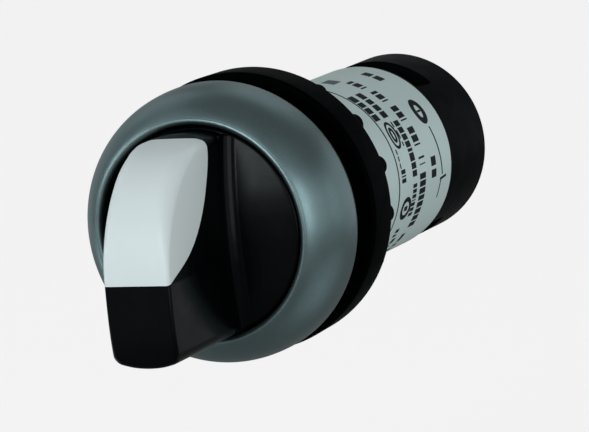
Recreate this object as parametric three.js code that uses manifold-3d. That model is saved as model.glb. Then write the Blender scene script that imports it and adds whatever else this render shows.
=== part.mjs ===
// Selector switch for a 22 mm panel hole, built as separate pieces, in millimetres.
// The switch's axis lies along Y: the front (the operator's side) faces -Y, the terminals face +Y.
// +X is to the right and +Z is up for somebody looking at the front.
// Axial stations are measured from the bezel's rear rim, positive to the rear; the frame's origin
// is on the axis in the plane of the panel's front face, which is the gasket's rear face.
import * as THREE from 'three';
import { mergeVertices } from 'three/addons/utils/BufferGeometryUtils.js';
import Module from 'manifold-3d';

const wasm = await Module();
wasm.setup();

// ---------------------------------------------------------------- driving dimensions
const PANEL_SEAT = 1.2;          // station of the gasket's rear face, which is y = 0
const BEZEL_R = 14.85;           // rear rim of the bezel, 29.7 mm across
const BEZEL_DEPTH = 7.15;        // bezel's height in front of its rear rim
const LIP_R = 11.66;             // bezel opening
const THREAD_R = 10.9;           // mounting thread, nominal 22 mm
const BORE_R = 8.5;              // inside of the housing barrel
const NECK_R = 9.9;              // barrel under the label
const LABEL_R = 10.456;          // outside of the label sleeve
const LABEL_IN = 10.2;           // inside of the label sleeve
const LABEL_S0 = 17.0, LABEL_S1 = 37.2;
const REAR_R = 10.31;            // terminal housing
const REAR_S0 = 37.4, REAR_S1 = 48.4;
const WASHER_S0 = 3.3, WASHER_S1 = 3.9;
const NUT_R = 15.0, NUT_S0 = 4.2, NUT_S1 = 9.3, NUT_BORE = 11.25;
const NUT_LUGS = 16, LUG_R = 14.1, LUG_S1 = 12.3, COLLAR_R = 13.1;
const KNOB_R = 11.15;            // knob's round base
const LEVER_HALF_W = 3.7;        // half the lever's width
const LEVER_TOP_R = 10.8, LEVER_BOTTOM_R = 11.2;
const TURN_DEG = 60;             // knob travel between its two positions
const STROKE = 3.0;              // plunger travel over that turn
const PRONG_R0 = 4.4, PRONG_R1 = 6.4;
const CAM_LOW = 9.4;             // cam ramp station under a prong at rest
const TERM = 4.1;                // terminal centres at (+-TERM, +-TERM)
const POCKET = 2.8;              // half the width of a terminal pocket
const GAP = 0.3;                 // clearance between neighbouring pieces

const Y = (s) => s - PANEL_SEAT;

// ---------------------------------------------------------------- helpers
function clean(geometry) {
  let g = geometry.clone();
  for (const k of Object.keys(g.attributes)) if (k !== 'position') g.deleteAttribute(k);
  g.clearGroups();
  g = mergeVertices(g, 1e-4);
  const src = g.index.array, out = [];
  for (let i = 0; i < src.length; i += 3) {
    const [a, b, c] = [src[i], src[i + 1], src[i + 2]];
    if (a !== b && b !== c && a !== c) out.push(a, b, c);
  }
  g.setIndex(out);
  if (volume(g) < 0) {
    for (let i = 0; i < out.length; i += 3) [out[i], out[i + 1]] = [out[i + 1], out[i]];
    g.setIndex(out);
  }
  return g;
}
function volume(g) {
  const p = g.attributes.position.array, t = g.index.array;
  let v = 0;
  for (let i = 0; i < t.length; i += 3) {
    const a = 3 * t[i], b = 3 * t[i + 1], c = 3 * t[i + 2];
    v += p[a] * (p[b + 1] * p[c + 2] - p[b + 2] * p[c + 1])
       - p[a + 1] * (p[b] * p[c + 2] - p[b + 2] * p[c])
       + p[a + 2] * (p[b] * p[c + 1] - p[b + 1] * p[c]);
  }
  return v / 6;
}
function solid(geometry) {
  const g = clean(geometry);
  return new wasm.Manifold(new wasm.Mesh({
    numProp: 3,
    vertProperties: new Float32Array(g.attributes.position.array),
    triVerts: new Uint32Array(g.index.array),
  }));
}
function geometryOf(manifold) {
  const m = manifold.getMesh();
  const g = new THREE.BufferGeometry();
  g.setAttribute('position', new THREE.BufferAttribute(new Float32Array(m.vertProperties), 3));
  g.setIndex(Array.from(m.triVerts));
  return g;
}
const add = (first, ...rest) => rest.reduce((a, b) => a.add(b), first);
const cut = (first, ...rest) => rest.reduce((a, b) => a.subtract(b), first);

// A body of revolution about the switch's axis from [radius, station] pairs.
function turned(profile, segments = 48) {
  const pts = profile.map(([r, s]) => new THREE.Vector2(r, Y(s)));
  const onAxis = profile[0][0] === 0 && profile[profile.length - 1][0] === 0;
  if (!onAxis) pts.push(pts[0].clone());
  return solid(new THREE.LatheGeometry(pts, segments));
}
// The same about a line parallel to the axis through (x, z).
function turnedAt(x, z, profile, segments = 20) {
  return turned(profile, segments).translate([x, 0, z]);
}
function block(x0, x1, s0, s1, z0, z1) {
  const g = new THREE.BoxGeometry(x1 - x0, s1 - s0, z1 - z0);
  g.translate((x0 + x1) / 2, Y((s0 + s1) / 2), (z0 + z1) / 2);
  return solid(g);
}
// An outline in (X, Z) drawn out along the axis.
function prismXZ(points, s0, s1) {
  const shape = new THREE.Shape(points.map(([x, z]) => new THREE.Vector2(x, z)));
  const g = new THREE.ExtrudeGeometry(shape, { depth: s1 - s0, bevelEnabled: false, steps: 1 });
  g.rotateX(Math.PI / 2);
  g.translate(0, Y(s1), 0);
  return solid(g);
}
// An outline in (station, Z) drawn out along X.
function prismSZ(points, x0, x1) {
  const shape = new THREE.Shape(points.map(([s, z]) => new THREE.Vector2(Y(s), z)));
  const g = new THREE.ExtrudeGeometry(shape, { depth: x1 - x0, bevelEnabled: false, steps: 1 });
  g.applyMatrix4(new THREE.Matrix4().makeBasis(
    new THREE.Vector3(0, 1, 0), new THREE.Vector3(0, 0, 1), new THREE.Vector3(1, 0, 0)));
  g.translate(x0, 0, 0);
  return solid(g);
}
function hexPrism(cornerR, s0, s1) {
  const g = new THREE.CylinderGeometry(cornerR, cornerR, s1 - s0, 6);
  g.translate(0, Y((s0 + s1) / 2), 0);
  return solid(g);
}
function polar(r, deg) {                       // angle from +Z towards +X
  const a = THREE.MathUtils.degToRad(deg);
  return [r * Math.sin(a), r * Math.cos(a)];
}
// A coil spring of constant pitch about a line parallel to the axis through (x, z).
class Helix extends THREE.Curve {
  constructor(r, s0, s1, turns) { super(); Object.assign(this, { r, s0, s1, turns }); }
  getPoint(t, target = new THREE.Vector3()) {
    const a = 2 * Math.PI * this.turns * t;
    return target.set(this.r * Math.sin(a), Y(this.s0 + (this.s1 - this.s0) * t), this.r * Math.cos(a));
  }
}
function coil(x, z, r, wire, s0, s1, turns, stepsPerTurn) {
  const path = new Helix(r, s0 + wire, s1 - wire, turns);
  path.arcLengthDivisions = 400;
  const section = new THREE.Shape(Array.from({ length: 6 }, (_, i) =>
    new THREE.Vector2(wire * Math.cos(i * Math.PI / 3), wire * Math.sin(i * Math.PI / 3))));
  const g = new THREE.ExtrudeGeometry(section, { steps: turns * stepsPerTurn, bevelEnabled: false, extrudePath: path });
  g.translate(x, 0, z);
  return solid(g);
}

const group = new THREE.Group();
function piece(name, manifold, color, roughness = 0.5, metalness = 0.0) {
  const mesh = new THREE.Mesh(geometryOf(manifold),
    new THREE.MeshStandardMaterial({ color, roughness, metalness }));
  mesh.name = name;
  group.add(mesh);
}

// ---------------------------------------------------------------- colours
const BLACK = 0x17191b, SATIN = 0xa3aaae, WHITE = 0xe6eaea, LABEL = 0xe4e9ea;
const RUBBER = 0x111213, BRASS = 0xb08d4a, STEEL = 0xb4b7ba, SILVER = 0xd0d2d4, NATURAL = 0xd8d4c4;

// ---------------------------------------------------------------- bezel
// A domed ring with a rounded inner lip; hollow behind, so that it sits over the barrel's flange.
{
  const outer = [];
  const n = 7;
  for (let i = 0; i <= n; i++) {
    const t = Math.sin((i / n) * Math.PI / 2);
    const s = -BEZEL_DEPTH * t;
    const r = 11.95 + (BEZEL_R - 11.95) * Math.pow(Math.max(0, 1 - Math.pow(t, 2.853)), 1 / 1.192);
    outer.push([r, s]);
  }
  piece('bezel_ring', turned([
    ...outer, [LIP_R + 0.03, -6.95], [LIP_R, -6.6], [LIP_R, -3.0], [13.8, -2.1], [13.8, 0],
  ], 52), SATIN, 0.42, 0.65);
}

// ---------------------------------------------------------------- housing barrel
// Front bearing tube and flange, mounting thread with a keyway, neck under the label.
{
  const ridges = [];
  for (let s = 5.0; s < 15.5; s += 4.5) ridges.push([THREAD_R, s], [THREAD_R - 0.5, s + 0.4], [THREAD_R, s + 0.8]);
  const barrel = turned([
    [8.0, -3.4], [9.6, -3.4], [9.6, -1.8], [13.4, -1.8], [13.4, -0.25], [10.4, -0.25], [10.4, 1.4],
    [THREAD_R, 1.9], ...ridges, [THREAD_R, 16.0], [NECK_R, 16.6], [NECK_R, 37.1],
    [BORE_R, 37.1], [BORE_R, 3.8], [4.2, 3.8], [4.2, 2.2], [8.0, 2.2],
  ], 40);
  const keyway = block(-1.5, 1.5, 1.3, 16.3, -12, -10.1);
  const lug = block(-1.2, 1.2, 1.35, 2.9, 10.2, 12.0);
  piece('housing_barrel', add(cut(barrel, keyway), lug), BLACK, 0.5);
}

// ---------------------------------------------------------------- gasket between flange and panel
piece('front_gasket', turned([
  [11.2, 0.15], [14.1, 0.15], [14.35, 0.45], [14.35, PANEL_SEAT], [11.2, PANEL_SEAT],
], 40), RUBBER, 0.8);

// ---------------------------------------------------------------- lock washer, keyed to the barrel
{
  const ring = turned([[11.3, WASHER_S0], [13.0, WASHER_S0], [13.0, WASHER_S1], [11.3, WASHER_S1]], 40);
  const tooth = block(-1.1, 1.1, WASHER_S0, WASHER_S1, -11.8, -10.45);
  const relief = block(-1.6, 1.6, WASHER_S0 - 0.2, WASHER_S1 + 0.2, 11.0, 12.3);
  piece('lock_washer', cut(add(ring, tooth), relief), STEEL, 0.4, 0.8);
}

// ---------------------------------------------------------------- ring nut with rear lugs
{
  const body = turned([
    [NUT_BORE, NUT_S0], [NUT_R - 0.35, NUT_S0], [NUT_R, NUT_S0 + 0.35],
    [NUT_R - 0.12, NUT_S1 - 0.3], [NUT_R - 0.6, NUT_S1 + 0.1], [COLLAR_R, NUT_S1 + 0.4], [COLLAR_R, LUG_S1 - 0.3],
    [COLLAR_R - 0.3, LUG_S1], [NUT_BORE, LUG_S1],
  ], 52);
  const lugs = [];
  for (let i = 0; i < NUT_LUGS; i++) {
    const [x, z] = polar(LUG_R - 0.95, 97.4 + i * 360 / NUT_LUGS);
    const g = new THREE.CylinderGeometry(0.95, 0.95, LUG_S1 - NUT_S1 - 0.1, 8);
    g.translate(x, Y((LUG_S1 - 0.2 + NUT_S1 - 0.1) / 2), z);
    lugs.push(solid(g));
  }
  piece('ring_nut', add(body, ...lugs), BLACK, 0.5);
}

// ---------------------------------------------------------------- label sleeve around the neck
piece('label_sleeve', turned([
  [LABEL_IN, LABEL_S0], [LABEL_R, LABEL_S0], [LABEL_R, LABEL_S1], [LABEL_IN, LABEL_S1],
], 48), LABEL, 0.45);

// ---------------------------------------------------------------- knob and its white insert
const leverFront = [                        // [station, Z] down the lever's front edge
  [-9.0, 10.9], [-10.9, 10.55], [-12.5, 10.25], [-14.4, 9.8], [-16.4, 9.1], [-18.1, 8.2], [-19.35, 7.1], [-20.3, 6.1], [-21.3, 4.5],
  [-22.0, 2.8], [-22.4, 1.1], [-22.7, -0.7], [-22.84, -3.5], [-22.85, -5.0], [-22.7, -8.2], [-22.3, -10.8], [-22.1, -11.9],
];
function leverSolid() {
  const side = prismSZ([...leverFront, [-6.6, -11.9], [-6.6, 10.9]], -LEVER_HALF_W - 1, LEVER_HALF_W + 1);
  const w = LEVER_HALF_W, plan = [];
  const top = Math.asin(w / LEVER_TOP_R), bot = Math.asin(w / LEVER_BOTTOM_R);
  for (let i = 0; i <= 8; i++) { const a = -top + 2 * top * i / 8; plan.push([LEVER_TOP_R * Math.sin(a), LEVER_TOP_R * Math.cos(a)]); }
  for (let i = 0; i <= 8; i++) { const a = bot - 2 * bot * i / 8; plan.push([LEVER_BOTTOM_R * Math.sin(a), -LEVER_BOTTOM_R * Math.cos(a)]); }
  return side.intersect(prismXZ(plan, -25, -6.6));
}
// The insert's rear boundary in (station, Z): straight behind the top, then curving forward.
const boundary = [[-10.92, 8.8], [-11.3, 7.5], [-12.0, 5.87], [-13.27, 3.62], [-15.08, 1.47], [-17.71, -0.49], [-20.84, -1.85], [-22.6, -2.55], [-25.0, -2.9]];
function insertRegion(offset) {
  const moved = boundary.map(([s, z]) => [s + offset * 0.8, z - offset * 0.75]);
  return prismSZ([[-25, 12], [-10.92 + offset, 12], [-10.92 + offset, 8.8], ...moved.slice(1)], -6, 6);
}
{
  const lever = leverSolid();
  const coreOutline = (grow) => [[-9.8, 8.2 + grow], [-14.6 - grow, 7.8 + grow], [-17.0 - grow, 5.8 + grow], [-19.0 - grow, 3.2 + grow],
    [-20.2 - grow, 0.8], [-20.4 - grow, -3.5], [-9.8, -3.5]];
  const core = prismSZ(coreOutline(0), -2.2, 2.2);
  const coreHole = prismSZ(coreOutline(GAP), -2.2 - GAP, 2.2 + GAP);
  const base = turned([
    [0, -7.9], [3.5, -7.8], [7.0, -7.4], [10.2, -6.7], [10.9, -6.3], [KNOB_R, -5.7], [KNOB_R, -4.2],
    [7.7, -4.2], [7.7, -1.9], [6.8, -1.9], [6.8, -0.7], [7.7, -0.7], [7.7, 0.9], [0, 0.9],
  ], 44);
  const knob = cut(add(cut(lever, insertRegion(GAP)), core.intersect(lever), base), hexPrism(4.75, -3.2, 1.5));
  piece('knob', knob, BLACK, 0.42);
  piece('knob_insert', cut(lever.intersect(insertRegion(0)), coreHole), WHITE, 0.4);
}

// ---------------------------------------------------------------- seal in the knob hub's groove
piece('shaft_seal', turned([
  [7.05, -1.6], [7.45, -1.78], [7.8, -1.6], [7.9, -1.3], [7.8, -1.0], [7.45, -0.82], [7.05, -1.0],
], 30), RUBBER, 0.8);

// ---------------------------------------------------------------- rotor with its two helical cam ramps
function ramp(deg0, deg1, heightAt, r0, r1, base, n) {
  const pos = [], idx = [];
  for (let i = 0; i <= n; i++) {
    const d = deg0 + (deg1 - deg0) * i / n;
    const [xi, zi] = polar(r0, d), [xo, zo] = polar(r1, d), top = Y(heightAt(d)), b = Y(base);
    pos.push(xi, b, zi, xo, b, zo, xo, top, zo, xi, top, zi);
  }
  const quad = (a, b, c, d) => idx.push(a, b, c, a, c, d);
  for (let i = 0; i < n; i++) {
    const p = 4 * i, q = p + 4;
    for (let k = 0; k < 4; k++) quad(p + k, p + (k + 1) % 4, q + (k + 1) % 4, q + k);
  }
  quad(3, 2, 1, 0);
  quad(4 * n, 4 * n + 1, 4 * n + 2, 4 * n + 3);
  const g = new THREE.BufferGeometry();
  g.setAttribute('position', new THREE.BufferAttribute(new Float32Array(pos), 3));
  g.setIndex(idx);
  return solid(g);
}
{
  const shaft = turned([
    [0, -0.2], [3.9, -0.2], [3.9, 3.95], [3.2, 3.95], [3.2, 4.6], [3.4, 4.6], [3.4, 6.4], [6.8, 6.4], [6.8, 8.7], [3.3, 8.7], [3.3, 9.4], [0, 9.4],
  ], 28);
  const slope = STROKE / TURN_DEG;
  let rotor = add(shaft, hexPrism(4.4, -2.9, 0.6), hexPrism(4.04, 4.6, 6.5));
  for (const at of [0, 180]) {
    rotor = rotor.add(ramp(at - TURN_DEG - 12, at + 12, (d) => CAM_LOW + slope * (at - d), 4.0, 6.8, 8.4, 12));
  }
  piece('rotor_cam', rotor, NATURAL, 0.5);
}
// Open retaining ring in the rotor's groove, behind the barrel's web.
{
  const ring = turned([[3.5, 4.05], [5.6, 4.05], [5.6, 4.45], [3.5, 4.45]], 28);
  piece('retaining_clip', cut(ring, block(-1.6, 1.6, 3.9, 4.6, -7, 0)), STEEL, 0.35, 0.9);
}
// Detent spring: two flat leaves along the rotor's hexagon, joined by a bow underneath.
{
  const x0 = 3.85, x1 = 4.2, outline = [[-x0, 5.6], [-x1, 5.6], [-x1, -5.2], [-3.0, -6.7], [0, -7.2], [3.0, -6.7], [x1, -5.2], [x1, 5.6], [x0, 5.6],
    [x0, -5.05], [2.85, -6.38], [0, -6.85], [-2.85, -6.38], [-x0, -5.05]];
  piece('detent_spring', prismXZ(outline, 4.75, 6.05), STEEL, 0.35, 0.9);
}

// ---------------------------------------------------------------- plunger with two bridge windows
const BRIDGE_Z = 4.0;
{
  let plunger = block(-2.0, 2.0, 16.5, 30.0, -6.4, 6.4);
  for (const sign of [1, -1]) {
    const zs = sign > 0 ? [PRONG_R0, PRONG_R1] : [-PRONG_R1, -PRONG_R0];
    const shape = new THREE.Shape([[-0.8, 17.0], [0.8, 17.0], [0.8, 10.6], [0.15, 9.7], [-0.15, 9.7], [-0.8, 10.6]].map(([x, s]) => new THREE.Vector2(x, Y(s))));
    const g = new THREE.ExtrudeGeometry(shape, { depth: zs[1] - zs[0], bevelEnabled: false, steps: 1 });
    g.translate(0, 0, zs[0]);
    plunger = plunger.add(solid(g));
  }
  const stem = turned([[0, 29.5], [1.0, 29.5], [1.0, 36.0], [0, 36.0]], 16);
  const ncWindow = block(-3, 3, 22.9, 28.2, BRIDGE_Z - 1.6, BRIDGE_Z + 1.6);
  const noWindow = block(-3, 3, 19.9, 25.2, -BRIDGE_Z - 1.6, -BRIDGE_Z + 1.6);
  piece('plunger', cut(add(plunger, stem), ncWindow, noWindow), NATURAL, 0.5);
}
function tip(x, z, s0, s1) { return turnedAt(x, z, [[0, s0], [0.85, s0], [0.85, s1], [0, s1]], 10); }
{
  const bar = (s0, z) => block(-4.9, 4.9, s0, s0 + 0.6, z - 1.05, z + 1.05);
  piece('nc_contact_bridge', add(bar(24.0, BRIDGE_Z), tip(4.1, BRIDGE_Z, 23.6, 24.2), tip(-4.1, BRIDGE_Z, 23.6, 24.2)), BRASS, 0.3, 0.9);
  piece('no_contact_bridge', add(bar(23.4, -BRIDGE_Z), tip(4.1, -BRIDGE_Z, 23.8, 24.4), tip(-4.1, -BRIDGE_Z, 23.8, 24.4)), BRASS, 0.3, 0.9);
  piece('nc_contact_spring', coil(0, BRIDGE_Z, 0.95, 0.2, 24.75, 28.05, 4, 8), STEEL, 0.3, 0.9);
  piece('no_contact_spring', coil(0, -BRIDGE_Z, 0.95, 0.2, 20.05, 23.25, 4, 8), STEEL, 0.3, 0.9);
  piece('return_spring', coil(0, 0, 2.3, 0.3, 30.2, 37.1, 5, 10), STEEL, 0.3, 0.9);
}
// Guide plate that the plunger slides through.
piece('plunger_guide', cut(turned([[0, 18.4], [8.2, 18.4], [8.2, 19.6], [0, 19.6]], 32), block(-2.3, 2.3, 18, 20, -6.7, 6.7)), BLACK, 0.6);

// ---------------------------------------------------------------- fixed contacts, one for each terminal
function fixedContact(sx, sz, footS, tipS0, tipS1) {
  const m = (a, b) => sx > 0 ? [a, b] : [-b, -a];
  const n = (a, b) => sz > 0 ? [a, b] : [-b, -a];
  const foot = block(...m(3.2, 6.4), footS, footS + 0.5, ...n(3.0, 5.0));
  const strip = block(...m(5.9, 6.4), footS, 40.2, ...n(3.0, 5.0));
  const plate = block(...m(1.7, 6.5), 39.5, 40.2, ...n(1.7, 6.5));
  const hole = turnedAt(sx * TERM, sz * TERM, [[0, 38], [1.55, 38], [1.55, 42], [0, 42]], 16);
  return add(cut(add(foot, strip, plate), hole), tip(sx * 4.1, sz * BRIDGE_Z, tipS0, tipS1));
}
piece('nc_fixed_contact_left', fixedContact(-1, 1, 22.5, 22.8, 23.45), BRASS, 0.35, 0.9);
piece('nc_fixed_contact_right', fixedContact(1, 1, 22.5, 22.8, 23.45), BRASS, 0.35, 0.9);
piece('no_fixed_contact_left', fixedContact(-1, -1, 27.95, 27.55, 28.1), BRASS, 0.35, 0.9);
piece('no_fixed_contact_right', fixedContact(1, -1, 27.95, 27.55, 28.1), BRASS, 0.35, 0.9);

// ---------------------------------------------------------------- terminal housing
{
  const body = turned([[0, REAR_S0], [REAR_R, REAR_S0], [REAR_R, REAR_S1 - 0.5], [REAR_R - 0.5, REAR_S1], [0, REAR_S1]], 48);
  const spigot = turned([[6.9, 35.2], [8.2, 35.2], [8.2, REAR_S0 + 0.3], [6.9, REAR_S0 + 0.3]], 36);
  let housing = body.add(spigot);
  for (const sx of [1, -1]) for (const sz of [1, -1]) {
    const m = (a, b) => sx > 0 ? [a, b] : [-b, -a];
    const n = (a, b) => sz > 0 ? [a, b] : [-b, -a];
    housing = cut(housing,
      block(...m(TERM - POCKET, TERM + POCKET), 38.6, 49, ...n(TERM - POCKET, TERM + POCKET)),
      block(...m(5.6, 6.75), 34, 40, ...n(2.7, 5.3)),
      block(...m(2.3, 5.9), 39.0, 41.8, ...n(6.0, 9.5)));          // wire entry
  }
  // flats behind the label where the wires come in, above and below
  housing = cut(housing, block(-9, 9, 38.0, 42.0, 7.6, 11), block(-9, 9, 38.0, 42.0, -11, -7.6),
    turned([[0, 37], [1.4, 37], [1.4, 41], [0, 41]], 16));
  piece('terminal_housing', housing, BLACK, 0.5);
}

// ---------------------------------------------------------------- terminal clamps and screws
[[-1, 1, 'top_left'], [1, 1, 'top_right'], [-1, -1, 'bottom_left'], [1, -1, 'bottom_right']].forEach(([sx, sz, where]) => {
  const cx = sx * TERM, cz = sz * TERM;
  const plate = block(cx - 2.4, cx + 2.4, 41.0, 43.9, cz - 2.4, cz + 2.4);
  piece('terminal_clamp_' + where, cut(plate, turnedAt(cx, cz, [[0, 40], [1.55, 40], [1.55, 45], [0, 45]], 16)), STEEL, 0.4, 0.8);
  const screw = turnedAt(cx, cz, [[0, 38.95], [0.9, 38.95], [1.25, 39.3], [1.25, 44.2], [2.5, 44.2], [2.5, 45.5], [2.1, 46.1], [0, 46.2]], 18);
  const slotA = block(cx - 1.7, cx + 1.7, 45.2, 47, cz - 0.35, cz + 0.35);
  const slotB = block(cx - 0.35, cx + 0.35, 45.2, 47, cz - 1.7, cz + 1.7);
  piece('terminal_screw_' + where, cut(screw, slotA, slotB), STEEL, 0.35, 0.9);
});

export default group;
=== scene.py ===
import math

import bmesh
import bpy
import numpy as np
from mathutils import Matrix, Vector


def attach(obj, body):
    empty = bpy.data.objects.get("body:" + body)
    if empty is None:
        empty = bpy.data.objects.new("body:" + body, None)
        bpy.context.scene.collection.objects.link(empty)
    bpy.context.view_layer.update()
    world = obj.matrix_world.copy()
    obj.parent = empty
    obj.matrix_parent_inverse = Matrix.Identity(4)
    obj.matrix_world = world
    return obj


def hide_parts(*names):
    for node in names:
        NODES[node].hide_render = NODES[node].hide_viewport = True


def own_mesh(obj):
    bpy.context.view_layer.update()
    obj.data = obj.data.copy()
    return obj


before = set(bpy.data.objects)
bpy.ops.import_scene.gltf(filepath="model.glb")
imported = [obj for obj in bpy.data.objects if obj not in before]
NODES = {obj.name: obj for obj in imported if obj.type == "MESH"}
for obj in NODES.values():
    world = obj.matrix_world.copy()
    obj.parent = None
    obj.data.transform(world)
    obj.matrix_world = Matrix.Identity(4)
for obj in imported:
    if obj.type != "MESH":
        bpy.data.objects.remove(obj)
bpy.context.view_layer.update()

MM = 0.001
SEAT = 1.2                      # station of the panel's front face, which is y = 0


def P(x, s, z):
    """A point from X, station and Z in millimetres."""
    return (x * MM, (s - SEAT) * MM, z * MM)


# ------------------------------------------------------------------ mesh helpers
def link(name, me, smooth=32.0):
    bm = bmesh.new()
    bm.from_mesh(me)
    bmesh.ops.remove_doubles(bm, verts=bm.verts, dist=2e-7)
    bmesh.ops.dissolve_degenerate(bm, edges=bm.edges, dist=1e-7)
    bmesh.ops.recalc_face_normals(bm, faces=bm.faces)
    bm.to_mesh(me)
    bm.free()
    me.polygons.foreach_set("use_smooth", [True] * len(me.polygons))
    me.set_sharp_from_angle(angle=math.radians(smooth))
    ob = bpy.data.objects.new(name, me)
    bpy.context.scene.collection.objects.link(ob)
    return ob


def mesh_object(name, verts, faces, smooth=32.0):
    me = bpy.data.meshes.new(name)
    me.from_pydata(verts, [], faces)
    return link(name, me, smooth)


def fillet(points, step=12.0):
    """A closed outline of (a, b, radius) corners, with its corners rounded."""
    out, m = [], len(points)
    for i, p in enumerate(points):
        rad = p[2] if len(p) > 2 else 0.0
        b = Vector(p[:2])
        a, c = Vector(points[i - 1][:2]), Vector(points[(i + 1) % m][:2])
        if rad <= 0 or (a - b).length < 1e-9 or (c - b).length < 1e-9:
            out.append(tuple(b))
            continue
        u, v = (a - b).normalized(), (c - b).normalized()
        ang = u.angle(v)
        if ang > math.radians(177):
            out.append(tuple(b))
            continue
        d = min(rad / math.tan(ang / 2), 0.49 * (a - b).length, 0.49 * (c - b).length)
        r = d * math.tan(ang / 2)
        centre = b + (u + v).normalized() * (r / math.sin(ang / 2))
        s, e = b + u * d - centre, b + v * d - centre
        turn = s.angle(e)
        cross = s.x * e.y - s.y * e.x
        n = max(2, math.ceil(math.degrees(turn) / step))
        for k in range(n + 1):
            t = turn * k / n * (1 if cross > 0 else -1)
            out.append((centre.x + s.x * math.cos(t) - s.y * math.sin(t),
                        centre.y + s.x * math.sin(t) + s.y * math.cos(t)))
    return out


def even_angles(n):
    return [2 * math.pi * k / n for k in range(n)]


def swept(name, profile, angles, centre=(0.0, 0.0), warp=None, smooth=32.0):
    """A closed profile of (radius, station) turned about a line parallel to Y. Angles run from +Z to +X.
    warp(index, angle, r, s) returns a changed (r, s)."""
    verts, rows = [], []
    n = len(angles)
    for i, (r, s) in enumerate(profile):
        if r < 1e-6:
            rows.append([len(verts)] * n)
            verts.append(P(centre[0], s, centre[1]))
            continue
        rows.append(list(range(len(verts), len(verts) + n)))
        for a in angles:
            rr, ss = warp(i, a, r, s) if warp else (r, s)
            verts.append(P(centre[0] + rr * math.sin(a), ss, centre[1] + rr * math.cos(a)))
    faces = []
    for i in range(len(profile)):
        a, b = rows[i], rows[(i + 1) % len(profile)]
        if a[0] == a[-1] and b[0] == b[-1] and n > 1:
            continue
        for k in range(n):
            q = (k + 1) % n
            f = []
            for v in (a[k], a[q], b[q], b[k]):
                if v not in f:
                    f.append(v)
            if len(f) > 2:
                faces.append(f)
    return mesh_object(name, verts, faces, smooth)


def turned(name, corners, n=128, centre=(0.0, 0.0), smooth=32.0, step=12.0):
    return swept(name, fillet(corners, step), even_angles(n), centre, None, smooth)


def rounded_box(name, x0, x1, s0, s1, z0, z1, r=0.2, seg=3):
    me = bpy.data.meshes.new(name)
    bm = bmesh.new()
    bmesh.ops.create_cube(bm, size=1.0)
    for v in bm.verts:
        v.co = Vector(P((x0 + x1) / 2 + v.co.x * (x1 - x0), (s0 + s1) / 2 + v.co.y * (s1 - s0), (z0 + z1) / 2 + v.co.z * (z1 - z0)))
    if r > 0:
        bmesh.ops.bevel(bm, geom=list(bm.edges), offset=r * MM, segments=seg, profile=0.5, affect="EDGES", clamp_overlap=True)
    bm.to_mesh(me)
    bm.free()
    return link(name, me)


def boolean(target, cutters, operation="DIFFERENCE", smooth=32.0):
    """Applies the cutters to the target's mesh and removes them."""
    for c in cutters:
        m = target.modifiers.new("b", "BOOLEAN")
        m.operation, m.solver, m.object = operation, "MANIFOLD", c
    dg = bpy.context.evaluated_depsgraph_get()
    me = bpy.data.meshes.new_from_object(target.evaluated_get(dg))
    target.modifiers.clear()
    target.data = me
    for c in cutters:
        bpy.data.objects.remove(c)
    bm = bmesh.new()
    bm.from_mesh(me)
    bmesh.ops.remove_doubles(bm, verts=bm.verts, dist=2e-7)
    bmesh.ops.dissolve_degenerate(bm, edges=bm.edges, dist=1e-7)
    bm.to_mesh(me)
    bm.free()
    me.polygons.foreach_set("use_smooth", [True] * len(me.polygons))
    me.set_sharp_from_angle(angle=math.radians(smooth))
    return target


def chamfer(ob, width, angle=50.0, segments=2, smooth=40.0):
    """Rounds the sharp edges that a cut left."""
    m = ob.modifiers.new("bevel", "BEVEL")
    m.width, m.segments, m.limit_method, m.angle_limit = width * MM, segments, "ANGLE", math.radians(angle)
    m.use_clamp_overlap = True
    dg = bpy.context.evaluated_depsgraph_get()
    me = bpy.data.meshes.new_from_object(ob.evaluated_get(dg))
    ob.modifiers.clear()
    ob.data = me
    me.polygons.foreach_set("use_smooth", [True] * len(me.polygons))
    me.set_sharp_from_angle(angle=math.radians(smooth))
    return ob


def join(name, parts):
    """One object from several, in the first one's place."""
    me = bpy.data.meshes.new(name)
    bm = bmesh.new()
    for o in parts:
        bm.from_mesh(o.data)
    bm.to_mesh(me)
    bm.free()
    for o in parts:
        bpy.data.objects.remove(o)
    me.polygons.foreach_set("use_smooth", [True] * len(me.polygons))
    me.set_sharp_from_angle(angle=math.radians(32))
    ob = bpy.data.objects.new(name, me)
    bpy.context.scene.collection.objects.link(ob)
    return ob


def finish_piece(ob, body, mat, slot, *nodes):
    ob.data.materials.clear()
    ob.data.materials.append(mat)
    for p in ob.data.polygons:
        p.material_index = 0
    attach(ob, body)
    if nodes:
        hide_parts(*nodes)
    return ob


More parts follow.
